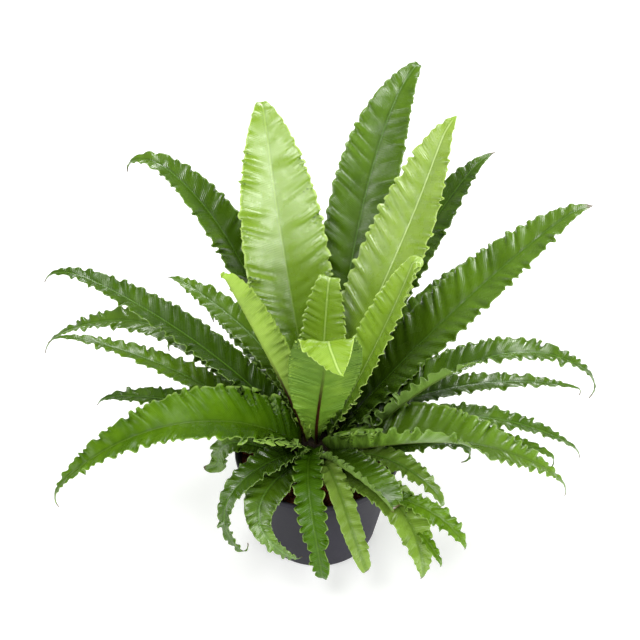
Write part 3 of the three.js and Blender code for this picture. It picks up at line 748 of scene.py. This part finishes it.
def drain(shell, angle):
    """Cuts one hole through the pot's floor."""
    bpy.ops.mesh.primitive_cylinder_add(
        vertices=DRAIN_SIDES, radius=DRAIN_DIAMETER / 2 * MM, depth=4 * FLOOR * MM,
        location=(DRAIN_RING * MM * math.cos(angle), DRAIN_RING * MM * math.sin(angle), 0))
    drill = bpy.context.object
    cut = shell.modifiers.new("drain", "BOOLEAN")
    cut.operation = "DIFFERENCE"
    cut.object = drill
    bpy.context.view_layer.objects.active = shell
    bpy.ops.object.modifier_apply(modifier=cut.name)
    bpy.data.objects.remove(drill)


def sharpen(piece, degrees):
    """Edges that turn by more than this stay sharp."""
    bpy.ops.object.select_all(action="DESELECT")
    piece.select_set(True)
    bpy.context.view_layer.objects.active = piece
    bpy.ops.object.shade_smooth_by_angle(angle=math.radians(degrees))


def strand(start, heading, bend, length, radius, steps):
    """A thin three-sided fibre: points and faces."""
    t = np.linspace(0, 1, steps + 1)[:, None]
    side = unit(np.cross(heading, STRAND_REFERENCE))
    over = np.cross(side, heading)
    middle = start + heading * length * t + bend * length * (t * t - t) * 2
    thick = radius * (1 - STRAND_THINNING * t)
    corners = [a * side + b * over for a, b in STRAND_CORNERS]
    points = np.stack([middle + thick * c for c in corners], axis=1).reshape(-1, 3)
    ends = [[0, 1, 2], [3 * steps + 2, 3 * steps + 1, 3 * steps]]
    return points, ring_faces(steps + 1, 3).tolist() + ends


def rough_solid(profile, sides, bumps_at, rough):
    """A closed solid of (radius, height) points turned round Z, with bumps on the rings named in rough."""
    points = []
    for i, (r, z) in enumerate(profile):
        for a in np.linspace(0, 2 * math.pi, sides, endpoint=False):
            x, y = r * math.cos(a), r * math.sin(a)
            points.append((x, y, z + bumps_at(x, y, z) if i in rough else z))
    last = (len(profile) - 1) * sides
    caps = [list(range(sides))[::-1], list(range(last, last + sides))]
    return np.array(points), ring_faces(len(profile), sides)[:, ::-1].tolist() + caps


def toned(points, faces, tone):
    """A part of the soil or the stock with the tone that its material reads."""
    return points, faces, np.full((len(points), 3), tone)


def earth_piece(name, parts, node, material):
    points, faces, (tone,) = joined(parts)
    finish_piece(make_mesh(name, points, faces, {"grain_tone": tone}), node, material)


def soil_height(r):
    level = POT_HEIGHT - SOIL_DROP
    wall = inner_radius_at(level) - GAP
    return level + SOIL_MOUND * float(np.interp(r / wall, MOUND_RADII, MOUND_HEIGHTS))


def soil_bumps(x, y, _):
    return sum(height * noise.noise(Vector((x, y, level)) * fine) for height, fine, level in SOIL_BUMPS)


def soil(material):
    wall = inner_radius_at(POT_HEIGHT - SOIL_DROP) - GAP
    hole = STOCK_RADIUS + GAP
    profile = [(inner_radius_at(FLOOR + GAP) - GAP, FLOOR + GAP)]
    profile += [(r, soil_height(r)) for r in np.linspace(wall, hole, SOIL_RINGS)]
    profile += [(hole, POT_HEIGHT - STOCK_DEPTH - GAP)]
    parts = [toned(*rough_solid(profile, SOIL_SIDES, soil_bumps, range(1, len(profile) - 1)), BARE_TONE)]
    middle_margin, end_margin = FIBRE_MARGINS
    for _ in range(FIBRE_COUNT):
        r = rng.uniform(STOCK_RADIUS, wall - middle_margin)
        a = rng.uniform(0, 2 * math.pi)
        heading = unit(np.array([*rng.normal(0, 1, 2), rng.normal(*FIBRE_SLOPE)]))
        length = rng.uniform(*FIBRE_LENGTH)
        centre = np.array([r * math.cos(a), r * math.sin(a), soil_height(r) + rng.uniform(*FIBRE_LIFT)])
        start = centre - heading * length / 2
        far = centre + heading * length / 2
        if max(np.hypot(*start[:2]), np.hypot(*far[:2])) > wall - end_margin:
            continue
        bend = rng.normal(0, FIBRE_BEND, 3) * [1, 1, 0.5]
        fibre = strand(start, heading, bend, length, rng.uniform(*FIBRE_RADIUS), FIBRE_STEPS)
        parts.append(toned(*fibre, rng.uniform(*FIBRE_TONE)))
    earth_piece("soil_fibrous", parts, "soil", material)


def stock_bumps(x, y, z):
    return sum(height * noise.noise(Vector((x, y, z)) * fine) for height, fine in STOCK_BUMPS)


def stock(material):
    bottom = POT_HEIGHT - STOCK_DEPTH
    foot_share, foot_height = STOCK_FOOT
    profile = [(STOCK_RADIUS * foot_share, bottom), (STOCK_RADIUS, bottom + foot_height)]
    profile += [(r, stock_top_at(r)) for r in np.linspace(STOCK_RADIUS, STOCK_INNER_RING, STOCK_RINGS)]
    parts = [toned(*rough_solid(profile, STOCK_SIDES, stock_bumps, range(2, len(profile))), BARE_TONE)]
    for _ in range(SCALE_COUNT):
        r = STOCK_RADIUS * math.sqrt(rng.uniform(*SCALE_AREA))
        a = rng.uniform(0, 2 * math.pi)
        outward = np.array([math.cos(a), math.sin(a), 0])
        lean = outward * rng.uniform(*SCALE_LEAN)
        heading = unit(lean + rng.normal(0, SCALE_SCATTER, 3) + [0, 0, SCALE_RISE])
        start = outward * r + [0, 0, stock_top_at(r) - SCALE_SUNK]
        bend = rng.normal(0, SCALE_BEND, 3)
        length = rng.uniform(*SCALE_LENGTH)
        scale = strand(start, heading, bend, length, rng.uniform(*SCALE_RADIUS), SCALE_STEPS)
        parts.append(toned(*scale, rng.uniform(*SCALE_TONE)))
    earth_piece("rhizome_scaly", parts, "rhizome", material)


# ---------------------------------------------------------------- materials

class Nodes:
    """Short ways to add and link shader nodes in one material."""

    def __init__(self, name):
        self.material = bpy.data.materials.new(name)
        self.material.use_nodes = True
        self.tree = self.material.node_tree
        self.shader = self.tree.nodes["Principled BSDF"]

    def add(self, kind, **settings):
        made = self.tree.nodes.new(kind)
        for key, value in settings.items():
            setattr(made, key, value)
        return made

    def put(self, socket, value):
        if isinstance(value, bpy.types.NodeSocket):
            self.tree.links.new(value, socket)
        else:
            socket.default_value = value

    def surface(self, **values):
        """Sets the shader's inputs, with _ for a space in their names."""
        for name, value in values.items():
            self.put(self.shader.inputs[name.replace("_", " ")], value)
        return self.material

    def layer(self, name):
        """The three parts of a vector layer on the mesh."""
        source = self.add("ShaderNodeAttribute", attribute_name=name)
        split = self.add("ShaderNodeSeparateXYZ")
        self.put(split.inputs[0], source.outputs["Vector"])
        return split.outputs

    def math(self, operation, a, b=0.0, c=0.0):
        made = self.add("ShaderNodeMath", operation=operation)
        for socket, value in zip(made.inputs, (a, b, c)):
            self.put(socket, value)
        return made.outputs[0]

    def ramp(self, value, low, high, to_low=0.0, to_high=1.0):
        """to_low up to the value low and to_high from the value high on, with a smooth way between."""
        made = self.add("ShaderNodeMapRange", interpolation_type="SMOOTHSTEP")
        for socket, given in zip(made.inputs, (value, low, high, to_low, to_high)):
            self.put(socket, given)
        return made.outputs[0]

    def blend(self, share, a, b):
        made = self.add("ShaderNodeMix", data_type="RGBA", blend_type="MIX")
        self.put(made.inputs[0], share)
        self.put(made.inputs[6], a)
        self.put(made.inputs[7], b)
        return made.outputs[2]

    def paint(self, under, mask, strength, hexcode):
        """A colour laid over what is under it, where the mask is, with that strength at most."""
        return self.blend(self.math("MULTIPLY", mask, strength), under, linear(hexcode))

    def noise(self, scale, detail=3, rough=0.5):
        made = self.add("ShaderNodeTexNoise")
        made.inputs["Scale"].default_value = scale
        made.inputs["Detail"].default_value = detail
        made.inputs["Roughness"].default_value = rough
        self.put(made.inputs["Vector"], self.add("ShaderNodeTexCoord").outputs["Object"])
        return made.outputs[0]

    def bump(self, height, distance, strength, under=None):
        made = self.add("ShaderNodeBump")
        made.inputs["Strength"].default_value = strength
        made.inputs["Distance"].default_value = distance
        self.put(made.inputs["Height"], height)
        if under is not None:
            self.put(made.inputs["Normal"], under)
        return made.outputs[0]


def leaf_material(name, look):
    n = Nodes(name)
    share, out, face = n.layer("blade_where")
    vein, span, tone = n.layer("blade_run")
    gloss, shade, _ = n.layer("blade_look")
    from_rib = n.math("ABSOLUTE", span)
    on_underside = n.ramp(face, *FACE_BAND)

    # Painted shade: the blade is darkest beside the crown and fades out to a share set by its age and its
    # own shade
    crown = n.ramp(share, CROWN_SHADE_START, n.math("MULTIPLY", shade, look["shade"]), 1.0, 0.0)
    wobble = n.math("MULTIPLY_ADD", n.noise(scale=60, detail=2), VEIN_WOBBLE, vein)
    lines = n.math("SINE", n.math("MULTIPLY", wobble, 2 * math.pi / VEIN_SPACING))
    veins = n.ramp(lines, -1, 1)
    edge = n.ramp(n.math("ABSOLUTE", out), *EDGE_BAND)
    # Painted shade: a dark line in the groove beside the rib, in the crown's shade colour
    from_groove = n.math("ABSOLUTE", n.math("SUBTRACT", from_rib, GROOVE_FROM_RIB))
    groove_shade = n.ramp(from_groove, *GROOVE_BAND, 1.0, 0.0)
    faint_if_deep = n.ramp(tone, *DEEP_TONES, FAINT_RIB, 1.0)
    rib = n.math("MULTIPLY", n.ramp(from_rib, *RIB_BAND, 1.0, 0.0), faint_if_deep)
    under_rib = n.math("MULTIPLY", n.ramp(from_rib, *UNDER_RIB_BAND, 1.0, 0.0),
                       n.ramp(share, *UNDER_RIB_FADE, 1.0, UNDER_RIB_REST))

    clouds = n.noise(scale=28, detail=4, rough=0.6)
    mottled = n.math("MULTIPLY_ADD", n.math("SUBTRACT", tone, 0.5), TONE_SHIFT, clouds)
    above = n.blend(n.ramp(mottled, *MOTTLE_BAND), linear(look["deep"]), linear(look["fresh"]))
    # the painted shade beside the crown, on the top
    above = n.paint(above, crown, LEAF_PAINT["crown"], look["crown"])
    above = n.paint(above, n.ramp(tone, *PALE_BAND), LEAF_PAINT["pale"], PALE_GREEN)
    above = n.paint(above, veins, LEAF_PAINT["veins"], look["fresh"])
    # pale margin: the leaf's own paler edge, and partly a painted highlight
    above = n.paint(above, edge, LEAF_PAINT["edge"], look["edge"])
    # the groove's painted shade
    above = n.paint(above, groove_shade, LEAF_PAINT["groove_shade"], look["crown"])
    above = n.paint(above, rib, LEAF_PAINT["rib"], look["rib"])

    fresh_below = n.ramp(mottled, *UNDER_MOTTLE_BAND)
    below = n.paint(linear(look["under"]), fresh_below, LEAF_PAINT["fresh below"], look["fresh"])
    # the painted shade beside the crown, on the underside
    below = n.paint(below, crown, LEAF_PAINT["crown shade below"], look["crown"])
    below = n.paint(below, veins, LEAF_PAINT["veins below"], look["edge"])
    below = n.blend(under_rib, below, linear(look["under_rib"]))

    colour = n.blend(on_underside, above, below)
    colour = n.paint(colour, n.ramp(share, *TIP_BAND), LEAF_PAINT["tip"], look["tip"])
    colour = n.paint(colour, n.ramp(share, *STALK_BAND, 1.0, 0.0), LEAF_PAINT["stalk"], STALK_BROWN)

    least_rough, most_rough = (look["rough"] + change for change in ROUGH_SPREAD)
    rough = n.ramp(n.noise(scale=90), 0.3, 0.7, least_rough, most_rough)
    rough = n.math("MULTIPLY_ADD", face, UNDER_ROUGHER, rough)
    shine = n.math("MULTIPLY", n.ramp(face, *FACE_BAND, look["gloss"], UNDER_GLOSS), gloss)
    ribbed = n.bump(veins, distance=0.00014, strength=0.6)
    cells = n.bump(n.noise(scale=420, detail=4, rough=0.6), distance=0.0001, strength=0.35, under=ribbed)
    return n.surface(Base_Color=colour, Roughness=rough, Specular_IOR_Level=shine, Normal=cells)


def pot_material():
    n = Nodes("pot_matte_plastic")
    dark, light, pale = POT_COLOURS
    cloud = n.noise(scale=14, detail=4)
    fleck = n.noise(scale=900, detail=2, rough=0.7)
    colour = n.blend(n.ramp(cloud, 0.3, 0.7), linear(dark), linear(light))
    colour = n.paint(colour, n.ramp(fleck, 0.62, 0.8), 0.4, pale)
    grain = n.bump(n.noise(scale=700, rough=0.6), distance=0.0002, strength=0.6)
    return n.surface(Base_Color=colour, Roughness=n.ramp(cloud, 0.3, 0.7, 0.55, 0.68),
                     Specular_IOR_Level=0.25, Normal=grain)


def earth_material(name, dark, light, pale):
    n = Nodes(name)
    tone = n.layer("grain_tone")[0]
    grain = n.noise(scale=260, detail=5, rough=0.7)
    amount = n.math("MULTIPLY_ADD", n.math("SUBTRACT", grain, 0.5), GRAIN_SWING, tone)
    colour = n.blend(n.ramp(amount, *LIGHT_TONES), linear(dark), linear(light))
    colour = n.paint(colour, n.ramp(amount, *PALE_TONES), 0.8, pale)
    return n.surface(Base_Color=colour, Roughness=n.ramp(grain, 0.3, 0.7, 0.8, 0.98),
                     Specular_IOR_Level=0.3, Normal=n.bump(grain, distance=0.0008, strength=0.8))


def floor_material():
    n = Nodes("studio_floor")
    return n.surface(Base_Color=(FLOOR_TONE, FLOOR_TONE, FLOOR_TONE, 1), Roughness=0.9,
                     Specular_IOR_Level=0.1, Emission_Color=(1, 1, 1, 1), Emission_Strength=FLOOR_GLOW)


# ---------------------------------------------------------------- studio

def studio():
    bpy.ops.mesh.primitive_plane_add(size=FLOOR_SIZE)
    ground = bpy.context.object
    ground.name = "floor"
    ground.data.materials.append(floor_material())

    world = bpy.data.worlds.new("studio")
    scene.world = world
    world.use_nodes = True
    sky = world.node_tree.nodes["Background"]
    sky.inputs["Color"].default_value = (1, 1, 1, 1)
    sky.inputs["Strength"].default_value = WORLD_STRENGTH

    for name, place, size, power in LIGHTS:
        light = bpy.data.lights.new(name, "AREA")
        light.size = size
        light.energy = power
        lamp = bpy.data.objects.new(name, light)
        lamp.location = place
        lamp.rotation_euler = (Vector(LIGHT_AIM) - Vector(place)).to_track_quat("-Z", "Y").to_euler()
        scene.collection.objects.link(lamp)


def camera():
    view = bpy.data.cameras.new("camera")
    view.lens = CAMERA_LENS
    view.sensor_width = SENSOR_WIDTH
    seen_from = bpy.data.objects.new("camera", view)
    lift = math.radians(CAMERA_ELEVATION)
    back = Vector((0, -math.cos(lift), math.sin(lift)))
    seen_from.location = Vector(CAMERA_AIM) + back * CAMERA_DISTANCE
    seen_from.rotation_euler = (-back).to_track_quat("-Z", "Y").to_euler()
    scene.collection.objects.link(seen_from)
    scene.camera = seen_from


camera()
studio()
pot(pot_material())
soil(earth_material("soil_fibres", *SOIL_COLOURS))
stock(earth_material("rhizome_scales", *STOCK_COLOURS))
leaves = {age: leaf_material(f"frond_{age}", look) for age, look in LEAF_LOOKS.items()}
for number, row in enumerate(FRONDS, 1):
    frond(number, row, leaves)
scene.view_settings.view_transform = "Standard"
